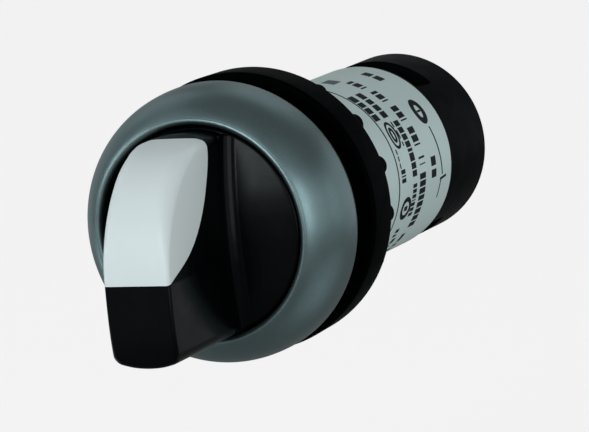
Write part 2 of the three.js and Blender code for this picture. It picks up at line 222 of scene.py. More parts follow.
# ------------------------------------------------------------------ materials
def surface(name, base, rough, metallic=0.0, specular=0.5, tint=0.06, grain=0.12, grain_size=0.16, mottle=3.0,
            rough_spread=0.05, scratches=0.0, brushed=None, coat=0.0, coat_rough=0.2, sss=0.0, flakes=0.0):
    """A shader with colour drift, roughness drift and a fine relief, all sized in millimetres on the piece itself."""
    m = bpy.data.materials.new(name)
    m.use_nodes = True
    nt = m.node_tree
    nt.nodes.clear()
    N, L = nt.nodes.new, nt.links.new
    out, sh = N("ShaderNodeOutputMaterial"), N("ShaderNodeBsdfPrincipled")
    L(sh.outputs[0], out.inputs[0])
    sh.inputs["Metallic"].default_value = metallic
    sh.inputs["Specular IOR Level"].default_value = specular
    if coat > 0:
        sh.inputs["Coat Weight"].default_value = coat
        sh.inputs["Coat Roughness"].default_value = coat_rough
    if sss > 0:
        sh.inputs["Subsurface Weight"].default_value = sss
        sh.inputs["Subsurface Radius"].default_value = (0.6, 0.55, 0.5)
        sh.inputs["Subsurface Scale"].default_value = 0.0008
    tc, mp = N("ShaderNodeTexCoord"), N("ShaderNodeMapping")
    mp.inputs["Scale"].default_value = (1000.0, 1000.0, 1000.0)
    L(tc.outputs["Object"], mp.inputs["Vector"])

    def noise(scale, detail=3.0, rough=0.5, vec=None):
        n = N("ShaderNodeTexNoise")
        n.inputs["Scale"].default_value = scale
        n.inputs["Detail"].default_value = detail
        n.inputs["Roughness"].default_value = rough
        L((vec or mp).outputs[0], n.inputs["Vector"])
        return n

    def spread(src, lo, hi, a=0.3, b=0.7):
        r = N("ShaderNodeMapRange")
        r.inputs["From Min"].default_value, r.inputs["From Max"].default_value = a, b
        r.inputs["To Min"].default_value, r.inputs["To Max"].default_value = lo, hi
        L(src, r.inputs["Value"])
        return r.outputs["Result"]

    broad = noise(1.0 / mottle, 4.0, 0.55)
    ramp = N("ShaderNodeValToRGB")
    ramp.color_ramp.elements[0].position, ramp.color_ramp.elements[1].position = 0.3, 0.7
    ramp.color_ramp.elements[0].color = (*[c * (1 - tint) for c in base], 1)
    ramp.color_ramp.elements[1].color = (*[min(1.0, c * (1 + tint)) for c in base], 1)
    L(broad.outputs["Fac"], ramp.inputs["Fac"])
    colour = ramp.outputs["Color"]
    if flakes > 0:
        v = N("ShaderNodeTexVoronoi")
        v.inputs["Scale"].default_value = 14.0
        L(mp.outputs[0], v.inputs["Vector"])
        mx = N("ShaderNodeMix")
        mx.data_type, mx.blend_type = "RGBA", "MULTIPLY"
        mx.inputs["Factor"].default_value = flakes
        hs = N("ShaderNodeHueSaturation")
        hs.inputs["Saturation"].default_value = 0.2
        hs.inputs["Value"].default_value = 1.5
        L(v.outputs["Color"], hs.inputs["Color"])
        L(colour, mx.inputs["A"])
        L(hs.outputs["Color"], mx.inputs["B"])
        colour = mx.outputs["Result"]
    L(colour, sh.inputs["Base Color"])
    rn = noise(1.7 / mottle, 5.0, 0.6)
    L(spread(rn.outputs["Fac"], rough - rough_spread, rough + rough_spread), sh.inputs["Roughness"])

    fine = noise(1.0 / grain_size, 3.0, 0.6)
    bump = N("ShaderNodeBump")
    bump.inputs["Strength"].default_value = grain
    bump.inputs["Distance"].default_value = 0.03 * MM
    L(fine.outputs["Fac"], bump.inputs["Height"])
    normal = bump
    if scratches > 0:
        m2 = N("ShaderNodeMapping")
        m2.inputs["Scale"].default_value = (5200.0, 260.0, 5200.0)
        m2.inputs["Rotation"].default_value = (0.3, 0.2, 0.5)
        L(tc.outputs["Object"], m2.inputs["Vector"])
        sn = noise(1.0, 2.0, 0.5, m2)
        b2 = N("ShaderNodeBump")
        b2.inputs["Strength"].default_value = scratches
        b2.inputs["Distance"].default_value = 0.02 * MM
        L(spread(sn.outputs["Fac"], 0.0, 1.0, 0.62, 0.72), b2.inputs["Height"])
        L(bump.outputs["Normal"], b2.inputs["Normal"])
        normal = b2
    if brushed:
        m3 = N("ShaderNodeMapping")
        m3.inputs["Scale"].default_value = brushed
        L(tc.outputs["Object"], m3.inputs["Vector"])
        bn = noise(1.0, 4.0, 0.6, m3)
        b3 = N("ShaderNodeBump")
        b3.inputs["Strength"].default_value = 0.25
        b3.inputs["Distance"].default_value = 0.02 * MM
        L(bn.outputs["Fac"], b3.inputs["Height"])
        L(normal.outputs["Normal"], b3.inputs["Normal"])
        normal = b3
    L(normal.outputs["Normal"], sh.inputs["Normal"])
    return m


M = {
    "knob": surface("knob_black_satin", (0.0006, 0.0010, 0.0012), 0.22, specular=0.105, tint=0.12, grain=0.10, grain_size=0.14, mottle=4.0, scratches=0.05),
    "moulding": surface("housing_black_moulding", (0.0007, 0.0011, 0.0012), 0.44, specular=0.017, tint=0.12, grain=0.2, grain_size=0.18, mottle=3.5, scratches=0.04),
    "nut": surface("nut_black_moulding", (0.0003, 0.0005, 0.0006), 0.44, specular=0.007, tint=0.12, grain=0.22, grain_size=0.2, mottle=3.0, scratches=0.05),
    "bezel": surface("bezel_satin_silver", (0.164, 0.224, 0.226), 0.37, metallic=0.94, tint=0.035, grain=0.10, grain_size=0.10, mottle=5.0, rough_spread=0.03, flakes=0.16),
    "white": surface("insert_white", (0.785, 0.825, 0.805), 0.34, specular=0.4, tint=0.012, grain=0.05, grain_size=0.2, mottle=6.0, rough_spread=0.03, sss=0.04),
    "label": surface("label_film_white", (0.635, 0.75, 0.715), 0.40, specular=0.3, tint=0.02, grain=0.05, grain_size=0.12, mottle=5.0, rough_spread=0.04, coat=0.15, coat_rough=0.25),
    "ink": surface("label_ink", (0.004, 0.007, 0.008), 0.5, specular=0.08, tint=0.2, grain=0.1, grain_size=0.1, mottle=0.8),
    "ink_grey": surface("label_ink_grey", (0.10, 0.13, 0.125), 0.5, specular=0.15, tint=0.08, grain=0.1, grain_size=0.1, mottle=0.8),
    "rubber": surface("gasket_rubber", (0.0016, 0.0018, 0.0018), 0.70, specular=0.08, tint=0.15, grain=0.35, grain_size=0.12, mottle=1.8),
    "black_steel": surface("washer_black_oxide", (0.014, 0.014, 0.015), 0.42, metallic=0.6, specular=0.3, tint=0.15, grain=0.15, grain_size=0.2, mottle=1.5, scratches=0.1),
    "zinc": surface("terminal_zinc", (0.52, 0.53, 0.54), 0.3, metallic=1.0, tint=0.05, grain=0.12, grain_size=0.15, mottle=1.0, scratches=0.12, brushed=(900.0, 9000.0, 900.0)),
    "spring": surface("spring_wire", (0.46, 0.465, 0.47), 0.26, metallic=1.0, tint=0.06, grain=0.1, grain_size=0.2, mottle=0.8, scratches=0.1),
    "brass": surface("contact_brass", (0.55, 0.39, 0.17), 0.3, metallic=1.0, tint=0.08, grain=0.1, grain_size=0.25, mottle=1.2, scratches=0.15, brushed=(1200.0, 12000.0, 1200.0)),
    "natural": surface("acetal_natural", (0.63, 0.6, 0.5), 0.42, specular=0.45, tint=0.03, grain=0.1, grain_size=0.2, mottle=3.0, sss=0.08),
    "dark": surface("guide_glass_filled", (0.02, 0.02, 0.022), 0.5, specular=0.3, tint=0.15, grain=0.3, grain_size=0.15, mottle=0.9),
}

# ------------------------------------------------------------------ bezel
dome = []
for i in range(49):
    t = math.sin(i / 48 * math.pi / 2)
    dome.append((12.02 + 2.83 * max(0.0, 1 - t ** 2.853) ** (1 / 1.192), -7.06 * t))
lip = [(11.3 + 0.46 - 0.46 * math.sin(a), -7.15 + 0.46 - 0.46 * math.cos(a)) for a in [math.radians(v) for v in range(-32, 91, 6)]]
bezel_profile = fillet([(14.6, 0.0), (14.83, -0.1), (14.85, -0.3)], 30)[0:0] + [(14.62, 0.0), (14.76, -0.05), (14.84, -0.18)] + \
    [p for p in dome if p[1] < -0.3] + lip + [(11.3, -6.2), (11.34, -3.05), (11.5, -2.95), (13.7, -2.15), (13.8, -2.0), (13.8, -0.1), (13.9, 0.0)]
bezel = swept("bezel_skin", bezel_profile, even_angles(224), smooth=40)
finish_piece(bezel, "housing", M["bezel"], "satin_bezel", "bezel_ring")

# ------------------------------------------------------------------ knob: disc, hub and lever
W, LEVER_TOP, LEVER_BOT = 3.7, 10.8, 11.2
FRONT = [(-8.2, 11.05), (-9.0, 10.9), (-10.9, 10.55), (-12.5, 10.25), (-13.4, 10.05), (-14.4, 9.8), (-15.4, 9.5), (-16.4, 9.1), (-17.3, 8.68),
         (-18.1, 8.2), (-18.8, 7.67), (-19.4, 7.1), (-20.3, 6.1), (-21.0, 5.0), (-21.55, 3.9), (-21.98, 2.8), (-22.28, 1.65), (-22.53, 0.5),
         (-22.7, -0.7), (-22.79, -2.0), (-22.83, -3.5), (-22.84, -5.0), (-22.82, -6.5), (-22.7, -8.2), (-22.5, -9.6), (-22.3, -10.8), (-22.0, -12.4)]


def softened(points, window, n):
    """A polyline averaged over a short run of its length, which leaves a smooth curve."""
    pts = np.array(points)
    d = np.r_[0, np.cumsum(np.hypot(*np.diff(pts, axis=0).T))]
    out = []
    for t in np.linspace(0, d[-1], n):
        w = np.linspace(-2.2, 2.2, 31) * window
        w = w * min(1.0, (t + 1e-6) / (2.2 * window), (d[-1] - t + 1e-6) / (2.2 * window))
        g = np.exp(-(np.linspace(-2.2, 2.2, 31)) ** 2 / 2)
        out.append((np.sum(np.interp(t + w, d, pts[:, 0]) * g) / g.sum(), np.sum(np.interp(t + w, d, pts[:, 1]) * g) / g.sum()))
    return np.array(out)


_front = softened(FRONT, 0.8, 400)[::-1]


def front(z):
    return float(np.interp(z, _front[:, 1], _front[:, 0]))


def disc(r):
    """Station of the knob's round face at radius r."""
    s = -7.9 + 0.0115 * r * r
    edge = 10.75
    if r > edge:
        q = min(1.0, (r - edge) / (11.15 - edge))
        s = (-7.9 + 0.0115 * edge * edge) + 0.09 * q + 0.45 * (1 - math.sqrt(max(0.0, 1 - q * q)))
    return s


disc_profile = [(0.0, disc(0.0))] + [(r, disc(r)) for r in [0.6, 1.4, 2.4, 3.4, 4.4, 5.4, 6.4, 7.4, 8.4, 9.2, 9.8, 10.2, 10.5, 10.75, 10.84, 10.92, 10.99, 11.05, 11.09, 11.12, 11.14, 11.15]] + \
    [(11.15, -4.35), (11.0, -4.2), (7.7, -4.2), (7.7, -1.9), (6.8, -1.9), (6.8, -0.7), (7.7, -0.7), (7.7, 0.7), (7.5, 0.9), (0.0, 0.9)]
knob_base = swept("knob_base", disc_profile, even_angles(192), smooth=30)


def smoothstep(a, b, x):
    t = min(1.0, max(0.0, (x - a) / (b - a)))
    return t * t * (3 - 2 * t)


def side_edge(z):
    """Radius of the edge between the lever's front and its sides: soft at the top, crisp below."""
    e = 0.42 + 1.5 * smoothstep(-1.5, 8.5, z)
    e = e + (0.8 - e) * smoothstep(9.2, 10.4, z)
    return e + (0.5 - e) * smoothstep(-9.6, -10.6, z)


END_EDGE = 0.5
N_SIDE, N_END = 121, 31


def outline(inset, corner, low_corner):
    """The lever's plan, moved in by inset(z) along its sides and by inset(None) at its ends, as four runs of points."""
    de = inset(None)
    top, bot = LEVER_TOP - de, LEVER_BOT - de
    right = []
    for i in range(81):
        z = -10.2 + 20.0 * math.sin(i / 80 * math.pi / 2) ** 0.93
        right.append((W - inset(z), z))
    xt, xb = right[-1][0], right[0][0]
    zt, zb = math.sqrt(top * top - xt * xt), -math.sqrt(bot * bot - xb * xb)
    right = [(xb, zb, low_corner)] + [p for p in right if zb + low_corner * 1.2 < p[1] < zt - corner * 1.2] + [(xt, zt, corner)]
    at, ab = math.asin(xt / top), math.asin(xb / bot)
    top_arc = [(top * math.sin(a), top * math.cos(a)) for a in np.linspace(at, -at, 33) if abs(top * math.sin(a)) < xt - corner * 1.2]
    bot_arc = [(bot * math.sin(a), -bot * math.cos(a)) for a in np.linspace(-ab, ab, 33) if abs(bot * math.sin(a)) < xb - low_corner * 1.2]
    left = [(-p[0], *p[1:]) for p in reversed(right)]
    pts = fillet(right + top_arc + left + bot_arc, 9)
    q = np.array(pts)
    # the four runs meet at the middles of the rounded corners
    def nearest(x, z):
        return int(np.argmin((q[:, 0] - x) ** 2 + (q[:, 1] - z) ** 2))
    k, kb = 0.29 * corner, 0.29 * low_corner
    idx = [nearest(xb - kb, zb + kb), nearest(xt - k, zt - k), nearest(-xt + k, zt - k), nearest(-xb + kb, zb + kb)]
    q = np.roll(q, -idx[0], 0)
    idx = [(i - idx[0]) % len(q) for i in idx]
    q = np.vstack([q, q[:1]])
    idx.append(len(q) - 1)
    runs = []
    for j, count in zip(range(4), (N_SIDE, N_END, N_SIDE, N_END)):
        seg = q[idx[j]:idx[j + 1] + 1]
        d = np.r_[0, np.cumsum(np.hypot(*np.diff(seg, axis=0).T))]
        t = np.linspace(0, d[-1], count)
        runs.append(np.c_[np.interp(t, d, seg[:, 0]), np.interp(t, d, seg[:, 1])])
    return runs


def lever_solid(name, rear=-6.6):
    """The whole lever as a closed mesh: wall, rounded edge and front."""
    rings = []
    steps = [None, 0.0] + [math.radians(v) for v in (12, 24, 36, 48, 60, 72, 81, 90)]
    for a in steps:
        amt = 0.0 if a is None else 1 - math.cos(a)
        runs = outline(lambda z: (END_EDGE if z is None else side_edge(z)) * amt, 1.1 - 0.6 * amt, 1.5 - 0.6 * amt)
        ring = []
        for j, run in enumerate(runs):
            for i, (x, z) in enumerate(run[:-1]):
                u = i / (len(run) - 1)
                e = side_edge(z) if j in (0, 2) else END_EDGE
                if a is None:
                    s = rear
                else:
                    s = front(z) + e * (1 - math.sin(a))
                ring.append((x, s, z))
        rings.append(ring)
    verts = [P(*v) for ring in rings for v in ring]
    n = len(rings[0])
    faces = []
    for k in range(len(rings) - 1):
        for i in range(n):
            j = (i + 1) % n
            faces.append([k * n + i, k * n + j, (k + 1) * n + j, (k + 1) * n + i])
    faces.append(list(range(n - 1, -1, -1)))
    # front: a patch between the last ring's four runs
    runs = outline(lambda z: (END_EDGE if z is None else side_edge(z)), 0.5, 0.9)
    right, top, left, bottom = runs[0], runs[1], runs[2][::-1], runs[3]
    base = (len(rings) - 1) * n
    grid = {}
    for i in range(N_SIDE):
        for j in range(N_END):
            if i == 0:
                # bottom run goes from left to right; its ring index counts on from the left run's end
                k = 2 * (N_SIDE - 1) + (N_END - 1) + j
                grid[i, j] = base + (k % n)
            elif i == N_SIDE - 1:
                k = (N_SIDE - 1) + (N_END - 1 - j)
                grid[i, j] = base + (k % n)
            elif j == 0:
                k = (N_SIDE - 1) + (N_END - 1) + (N_SIDE - 1 - i)
                grid[i, j] = base + (k % n)
            elif j == N_END - 1:
                grid[i, j] = base + i
            else:
                u, v = j / (N_END - 1), i / (N_SIDE - 1)
                Lf, Rt = left[i], right[i]
                Bt, Tp = bottom[j], top[N_END - 1 - j]
                c00, c10, c01, c11 = left[0], right[0], left[-1], right[-1]
                pt = (1 - u) * Lf + u * Rt + (1 - v) * Bt + v * Tp - ((1 - u) * (1 - v) * c00 + u * (1 - v) * c10 + (1 - u) * v * c01 + u * v * c11)
                grid[i, j] = len(verts)
                verts.append(P(pt[0], front(pt[1]), pt[1]))
    for i in range(N_SIDE - 1):
        for j in range(N_END - 1):
            faces.append([grid[i, j], grid[i, j + 1], grid[i + 1, j + 1], grid[i + 1, j]])
    return mesh_object(name, verts, faces, smooth=30)


BOUNDARY = [(-10.92, 8.8), (-11.09, 8.2), (-11.26, 7.6), (-11.49, 7.02), (-12.01, 5.87), (-12.57, 4.73), (-13.27, 3.62), (-14.08, 2.53),
            (-15.08, 1.47), (-16.24, 0.46), (-17.71, -0.49), (-19.61, -1.35), (-20.84, -1.78), (-22.6, -2.5), (-25.0, -2.9)]


def boundary_curve(offset, n=60):
    """The insert's rear edge as a smooth line in (station, Z), moved towards the knob's base by offset."""
    out = softened([(-10.92, 12.0), (-10.92, 9.6)] + BOUNDARY, 0.45, n)
    tan = np.gradient(out, axis=0)
    nrm = np.c_[-tan[:, 1], tan[:, 0]]
    nrm /= np.linalg.norm(nrm, axis=1)[:, None]
    return out + nrm * offset


def region(name, offset, half=6.0):
    line = boundary_curve(offset)
    pts = [(-27.0, 12.5)] + [(float(s), float(z)) for s, z in line] + [(-27.0, float(line[-1][1]))]
    n = len(pts)
    verts = [P(-half, s, z) for s, z in pts] + [P(half, s, z) for s, z in pts]
    faces = [list(range(n)), list(range(2 * n - 1, n - 1, -1))]
    faces += [[i, (i + 1) % n, n + (i + 1) % n, n + i] for i in range(n)]
    return mesh_object(name, verts, faces)


insert = lever_solid("knob_insert_skin", rear=-6.6)
insert = boolean(insert, [region("cut", 0.0)], "INTERSECT", smooth=30)
lever = lever_solid("knob_lever")
lever = boolean(lever, [region("cut", 0.10)], "DIFFERENCE", smooth=30)
# a core under the insert closes the fine groove between the two
core = rounded_box("core", -3.1, 3.1, -16.0, -10.0, -2.0, 7.6, 0.3)


def fillet_strip(name, side, radius=1.3):
    """The rounded foot of the lever's side wall on the knob's round face."""
    nz, nx = 81, 16
    xs = [W + radius * (1 - math.cos(a)) for a in np.linspace(0, math.pi / 2, nx)]
    verts, faces = [], []
    for i in range(nz):
        v = -1 + 2 * i / (nz - 1)
        top, bot = [], []
        for x in xs:
            lim = 10.84 if v > 0 else 11.08
            z = v * math.sqrt(lim * lim - x * x)
            r = math.hypot(x, z)
            q = x - W
            h = radius - math.sqrt(max(0.0, 2 * radius * q - q * q))
            top.append(P(side * x, disc(r) - h + 0.004, z))
            bot.append(P(side * x, disc(r) + 0.35, z))
        inner_top = P(side * (W - 0.3), disc(math.hypot(W, v * 10.2)) - radius, v * math.sqrt(lim * lim - W * W))
        inner_bot = P(side * (W - 0.3), disc(math.hypot(W, v * 10.2)) + 0.35, v * math.sqrt(lim * lim - W * W))
        verts += [inner_top] + top + list(reversed(bot)) + [inner_bot]
    m = 2 * nx + 2
    for i in range(nz - 1):
        for j in range(m):
            k = (j + 1) % m
            faces.append([i * m + j, i * m + k, (i + 1) * m + k, (i + 1) * m + j])
    faces.append(list(range(m)))
    faces.append([(nz - 1) * m + j for j in range(m - 1, -1, -1)])
    return mesh_object(name, verts, faces, smooth=30)


knob = join("knob_body", [knob_base, lever, core, fillet_strip("fr", 1), fillet_strip("fl", -1)])
finish_piece(knob, "knob", M["knob"], "black_plastic", "knob")
finish_piece(insert, "knob", M["white"], "white_plastic", "knob_insert")

# ------------------------------------------------------------------ barrel with its thread
PITCH, T0, T1 = 1.5, 1.9, 16.0
key = math.asin(1.5 / 10.9)
angles = sorted(set([2 * math.pi * k / 176 for k in range(176) if abs(2 * math.pi * k / 176 - math.pi) > key + 0.01]
                    + [math.pi + key * t for t in (-0.999, -0.5, 0.0, 0.5, 0.999)]
                    + [math.pi - key * 1.001, math.pi + key * 1.001]))


def thread_r(a, s):
    u = ((s - T0) / PITCH - a / (2 * math.pi)) % 1.0
    w = abs(u - 0.5) * 2                                # 1 on a crest, 0 in a root
    f = min(1.0, max(0.0, (w - 0.18) / 0.62))
    r = 10.08 + 0.82 * f
    cap = 10.9
    cap = min(cap, 10.1 + (s - T0 + 0.5) * 1.2, 10.1 + (T1 + 0.35 - s) * 1.2)
    return min(r, cap)


head = [(8.0, -3.3), (8.1, -3.4), (9.5, -3.4), (9.6, -3.3), (9.6, -1.8), (13.3, -1.8), (13.4, -1.7), (13.4, -0.35), (13.3, -0.25), (10.5, -0.25), (10.4, -0.15), (10.4, 1.2)]
thread = [(10.9, s) for s in np.arange(1.3, 16.36, 0.125)]
tail = [(10.0, 16.5), (9.9, 16.6), (9.9, 37.0), (9.8, 37.1), (8.6, 37.1), (8.5, 37.0), (8.5, 3.8), (4.2, 3.8), (4.2, 2.2), (8.0, 2.2)]
i0, i1 = len(head), len(head) + len(thread)


def barrel_warp(i, a, r, s):
    if i0 <= i < i1:
        r = thread_r(a, s)
        if abs(a - math.pi) < key and s > 1.28:
            r = min(r, 10.1 / max(0.2, math.cos(a - math.pi)))
    return r, s


barrel = swept("barrel_skin", head + thread + tail, angles, warp=barrel_warp, smooth=38)
tab = rounded_box("tab", -1.2, 1.2, 1.35, 2.9, 10.0, 12.0, 0.2)
barrel = join("barrel_body", [barrel, tab])
finish_piece(barrel, "housing", M["moulding"], "black_plastic", "housing_barrel")

# ------------------------------------------------------------------ gasket, washer
gasket = turned("gasket_skin", [(11.2, 0.15, 0.1), (14.1, 0.15, 0.25), (14.35, 0.5, 0.12), (14.35, 1.2, 0.12), (11.2, 1.2, 0.08)], 176)
finish_piece(gasket, "housing", M["rubber"], "black_rubber", "front_gasket")

washer = turned("washer_skin", [(11.3, 3.3, 0.06), (13.0, 3.3, 0.08), (13.0, 3.9, 0.08), (11.3, 3.9, 0.06)], 160)
washer = boolean(washer, [rounded_box("t", -1.1, 1.1, 3.3, 3.9, -11.8, -10.45, 0.06)], "UNION")
washer = boolean(washer, [rounded_box("t", -1.6, 1.6, 3.0, 4.2, 10.6, 12.3, 0.1)])
finish_piece(washer, "washer", M["black_steel"], "black_steel", "lock_washer")

# ------------------------------------------------------------------ ring nut
NL, LUG0 = 16, math.radians(97.4)
nut_corners = [(11.25, 4.2, 0.15), (14.75, 4.2, 0.3), (15.0, 4.55, 0.25), (14.9, 9.0, 0.5), (14.35, 9.4, 0.25), (13.1, 9.62, 0.2)]
nut_profile = fillet(nut_corners + [(13.1, 12.3), (11.25, 12.3)], 15)[:-2]
collar = [(13.1, s) for s in (9.8, 10.2, 10.7, 11.2, 11.5, 11.7, 11.8, 11.9, 11.98, 12.05, 12.1)]
c0 = len(nut_profile)
c1 = c0 + len(collar)
nut_profile = nut_profile + collar + [(13.05, 12.2), (12.9, 12.3), (11.45, 12.3), (11.3, 12.22), (11.25, 12.1)]


def lug(a):
    """How far a grip lug stands out of the collar at this angle."""
    d = ((a - LUG0) / (2 * math.pi / NL)) % 1.0
    d = (d - round(d)) * 2 * math.pi / NL
    c, rad = 13.0, 1.1
    q = rad * rad - (c * math.sin(d)) ** 2
    r = c * math.cos(d) + math.sqrt(q) if q > 0 else 0.0
    x = r - 13.1
    k = 0.12                                            # a small rounding at the lug's foot
    return 0.5 * (x + math.sqrt(x * x + k * k)) - 0.0 if q > 0 else 0.5 * (-0.6 + math.sqrt(0.36 + k * k))


def nut_warp(i, a, r, s):
    if c0 <= i < c1:
        fade = 1.0 if s < 11.55 else math.sqrt(max(0.0, 1 - ((s - 11.55) / 0.56) ** 2))
        r = r + lug(a) * fade
    return r, s


nut = swept("ring_nut_skin", nut_profile, even_angles(16 * 26), warp=nut_warp, smooth=35)
finish_piece(nut, "nut", M["nut"], "black_plastic", "ring_nut")

# ------------------------------------------------------------------ label and its print
LR = 10.456
label = turned("label_skin", [(9.92, 17.0, 0.02), (LR, 17.0, 0.1), (LR, 37.2, 0.1), (9.92, 37.2, 0.02)], 192)
finish_piece(label, "housing", M["label"], "label_film", "label_sleeve")


class Ink:
    """Flat marks wrapped round the label, as thin closed shells. u is the angle from +Z towards +X in degrees."""

    START = 6.0

    def __init__(self):
        self.v, self.f = [], []

    def strip(self, centre, width, closed=False):
        """A line of (degrees, station) points with a width in millimetres."""
        pts = [(math.radians(u + self.START) * LR, s) for u, s in centre]
        dense = []
        for i in range(len(pts) - (0 if closed else 1)):
            a, b = pts[i], pts[(i + 1) % len(pts)]
            n = max(1, math.ceil(math.hypot(b[0] - a[0], b[1] - a[1]) / 0.3))
            dense += [(a[0] + (b[0] - a[0]) * k / n, a[1] + (b[1] - a[1]) * k / n) for k in range(n)]
        if not closed:
            dense.append(pts[-1])
        m = len(dense)
        rows = []
        for i in range(m):
            a = dense[(i - 1) % m] if closed or i > 0 else dense[i]
            b = dense[(i + 1) % m] if closed or i < m - 1 else dense[i]
            tx, ts = b[0] - a[0], b[1] - a[1]
            ln = math.hypot(tx, ts) or 1.0
            nx, ns = -ts / ln * width / 2, tx / ln * width / 2
            row = []
            for sx, ss, r in ((nx, ns, LR + 0.011), (-nx, -ns, LR + 0.011), (-nx, -ns, LR - 0.02), (nx, ns, LR - 0.02)):
                a2 = (dense[i][0] + sx) / LR
                row.append(len(self.v))
                self.v.append(P(r * math.sin(a2), dense[i][1] + ss, r * math.cos(a2)))
            rows.append(row)
        for i in range(m if closed else m - 1):
            a, b = rows[i], rows[(i + 1) % m]
            for k in range(4):
                q = (k + 1) % 4
                self.f.append([a[k], a[q], b[q], b[k]])
        if not closed:
            self.f += [rows[0][::-1], rows[-1]]

    def bar(self, u0, u1, s, height):
        self.strip([(u0, s), (u1, s)], height)

    def dashes(self, u0, u1, s, height, lengths, gap=1.3):
        """A row of bars of the given relative lengths, in place of words."""
        total = sum(lengths) + gap * (len(lengths) - 1)
        k = (u1 - u0) / total
        u = u0
        for ln in lengths:
            self.bar(u, u + ln * k, s, height)
            u += (ln + gap) * k

    def ring(self, u, s, ru, rs, width):
        pts = [(u + math.degrees(ru * math.cos(t) / LR), s + rs * math.sin(t)) for t in np.linspace(0, 2 * math.pi, 37)[:-1]]
        self.strip(pts, width, closed=True)

    def disc(self, u, s, ru, rs):
        n = 12
        for i in range(-n, n + 1):
            y = rs * (i / (n + 0.5))
            x = ru * math.sqrt(1 - (y / rs) ** 2)
            d = math.degrees(x / LR)
            self.strip([(u - d, s + y), (u + d, s + y)], 2 * rs / (2 * n + 1) * 1.04)

    def build(self, name, mat, slot):
        ob = mesh_object(name, self.v, self.f)
        return finish_piece(ob, "housing", mat, slot)


ink, grey = Ink(), Ink()
ink.strip([(u, 22.0) for u in range(-178, 180, 3)], 0.26, closed=True)
for off in (0, 180):
    ink.dashes(23 + off, 46 + off, 22.95, 1.35, [2.4, 1.7, 1.9, 1.9], 0.42)
    ink.dashes(23 + off, 46 + off, 25.2, 1.35, [2.4, 1.7, 1.9, 1.9], 0.42)
    ink.dashes(50 + off, 86 + off, 26.5, 1.25, [1.8, 1.8, 1.8, 1.8, 0.9, 2.4, 1.8, 1.8], 0.42)
    ink.dashes(10 + off, 21 + off, 28.05, 1.5, [1.1, 2.0, 0.5], 0.6)
    ink.dashes(26 + off, 36 + off, 28.35, 1.55, [1.1, 2.0, 0.5], 0.6)
    ink.dashes(41 + off, 52 + off, 28.6, 1.6, [2.0, 2.0, 0.5], 0.6)
    ink.dashes(57 + off, 69 + off, 28.8, 1.6, [2.0, 2.0, 0.5], 0.6)
    ink.dashes(76 + off, 81 + off, 28.9, 1.6, [0.7, 0.4], 1.6)
    ink.dashes(86 + off, 121 + off, 28.75, 1.7, [1.9, 1.9, 1.9, 1.6, 1.9, 1.9, 1.9, 1.9], 0.5)
    ink.dashes(90.5 + off, 111 + off, 26.5, 1.1, [1.5, 1.5, 1.5, 0.5, 1.5, 1.5, 1.5], 0.6)
    ink.dashes(66 + off, 78 + off, 22.95, 0.26, [2.2, 2.2, 2.2], 0.7)
    ink.dashes(79 + off, 87 + off, 23.4, 1.15, [1.4, 0.5, 1.4], 0.5)
    ink.ring(57.5 + off, 24.05, 1.5, 0.98, 0.36)
    ink.ring(57.5 + off, 24.05, 0.75, 0.40, 0.4)
    ink.dashes(49.5 + off, 66 + off, 25.35, 0.3, [1.2, 1.6, 0.8], 0.6)
    ink.ring(104 + off, 24.5, 1.05, 1.15, 0.55)
    ink.bar(102.5 + off, 105.5 + off, 24.5, 0.9)
    ink.ring(50.3 + off, 33.25, 1.25, 0.92, 0.8)
    ink.bar(49.6 + off, 51.0 + off, 33.25, 0.9)
    ink.strip([(61.5 + off, 33.5), (92.4 + off, 34.45)], 0.26)
    ink.strip([(93.9 + off, 35.6), (94.9 + off, 33.85)], 0.3)
    ink.strip([(94.4 + off, 34.1), (106.6 + off, 33.8)], 0.24)
    ink.dashes(79 + off, 92 + off, 32.0, 1.35, [1.8, 1.6], 0.7)
    ink.dashes(7 + off, 20.5 + off, 33.5, 1.45, [1.6, 1.6], 0.5)
    ink.dashes(118 + off, 124 + off, 24.6, 1.0, [1.4, 1.0], 0.7)
    ink.dashes(126 + off, 150 + off, 25.4, 1.0, [1.8, 2.8, 1.0, 1.8], 0.8)
    ink.dashes(126 + off, 158 + off, 28.2, 1.0, [2.8, 1.2, 1.8, 1.8, 2.6], 0.8)
    grey.bar(-2.0 + off, 6.5 + off, 26.5, 2.1)
ink.build("label_print", M["ink"], "label_film")
grey.build("label_print_grey", M["ink_grey"], "label_film")

# ------------------------------------------------------------------ terminal housing
rear = turned("terminal_housing_skin", [(0, 37.4), (8.2, 37.4), (10.31, 37.4, 0.15), (10.31, 48.4, 0.7), (0, 48.4)], 160)
spigot = turned("spigot", [(6.9, 35.2), (8.2, 35.2, 0.2), (8.2, 37.9), (6.9, 37.9)], 96)
rear = boolean(rear, [spigot], "UNION")
cutters = []
for sx in (1, -1):
    for sz in (1, -1):
        x, z = 4.1 * sx, 4.1 * sz
        cutters.append(rounded_box("c", x - 2.8, x + 2.8, 38.6, 50.0, z - 2.8, z + 2.8, 0.45, 4))
        x0, x1 = sorted((5.6 * sx, 6.75 * sx))
        z0, z1 = sorted((2.7 * sz, 5.3 * sz))
        cutters.append(rounded_box("c", x0, x1, 34.0, 40.0, z0, z1, 0.0))
        x0, x1 = sorted((2.3 * sx, 5.9 * sx))
        z0, z1 = sorted((6.0 * sz, 9.5 * sz))
        cutters.append(rounded_box("c", x0, x1, 39.0, 41.8, z0, z1, 0.3, 3))
cutters.append(rounded_box("c", -12, 12, 38.0, 42.0, 7.6, 13, 0.4, 4))
cutters.append(rounded_box("c", -12, 12, 38.0, 42.0, -13, -7.6, 0.4, 4))
cutters.append(turned("c", [(0, 36.5), (1.4, 36.5), (1.4, 41.0), (0, 41.0)], 40))
rear = boolean(rear, cutters, smooth=38)
finish_piece(rear, "housing", M["moulding"], "black_plastic", "terminal_housing")

